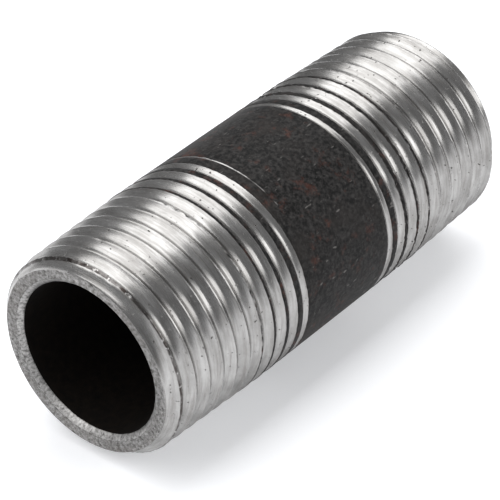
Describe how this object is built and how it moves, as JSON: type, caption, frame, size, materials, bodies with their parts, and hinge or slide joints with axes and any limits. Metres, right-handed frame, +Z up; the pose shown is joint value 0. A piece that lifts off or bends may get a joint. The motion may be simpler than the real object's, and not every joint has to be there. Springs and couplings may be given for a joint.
{
  "type": "threaded pipe nipple",
  "caption": "Short straight length of steel pipe with a right-hand tapered pipe thread cut on each end, a plain dark band in the middle and an open bore.",
  "frame": {"origin": "on the pipe's axis at mid-length", "axes": "+X along the pipe's axis, +Z up with the pipe lying on its side, +Y square to both"},
  "size_m": [0.05, 0.0214, 0.0214],
  "materials": {
    "steel": "bright cut threads, dark mill scale on the plain band and in the bore"
  },
  "bodies": {
    "root": {"threaded_nipple": "steel"}
  },
  "joints": []
}
